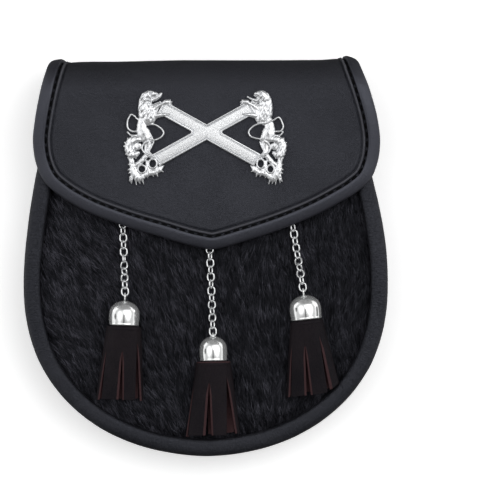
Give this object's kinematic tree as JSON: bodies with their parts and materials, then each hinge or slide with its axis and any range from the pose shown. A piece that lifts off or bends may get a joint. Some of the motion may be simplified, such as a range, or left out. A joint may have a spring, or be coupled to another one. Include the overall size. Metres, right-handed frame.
{
  "type": "sporran pouch",
  "caption": "Flat rounded waist pouch in black leather with a calf-hair front, a V-shaped flap, a cast saltire badge and chain-hung tassels.",
  "frame": {"origin": "on the surface the pouch lies on, under the middle of its outline", "axes": "+Z out of the front, +Y up towards the fold of the flap, +X to the right seen from the front"},
  "size_m": [0.189, 0.207, 0.0496],
  "materials": {
    "black_leather": "fine matt grain",
    "padded_leather": "soft sheen, finely creased",
    "calf_hair": "short sleek hair",
    "tassel_leather": "satin face, red-brown cut edges",
    "chrome": "polished",
    "chain_steel": "bright"
  },
  "bodies": {
    "root": {"back_panel": "black_leather", "gusset": "black_leather", "flap": "black_leather", "belt_loop_left": "black_leather", "belt_loop_right": "black_leather", "back_rim": "padded_leather", "front_rim": "padded_leather", "flap_rim": "padded_leather", "fur_panel": "calf_hair", "tassel_left": "tassel_leather", "tassel_middle": "tassel_leather", "tassel_right": "tassel_leather", "badge": "chrome", "cap_left": "chrome", "cap_middle": "chrome", "cap_right": "chrome", "chain_left": "chain_steel", "chain_middle": "chain_steel", "chain_right": "chain_steel", "anchor_left": "chain_steel", "anchor_middle": "chain_steel", "anchor_right": "chain_steel", "closure_stud": "chain_steel"}
  },
  "joints": []
}
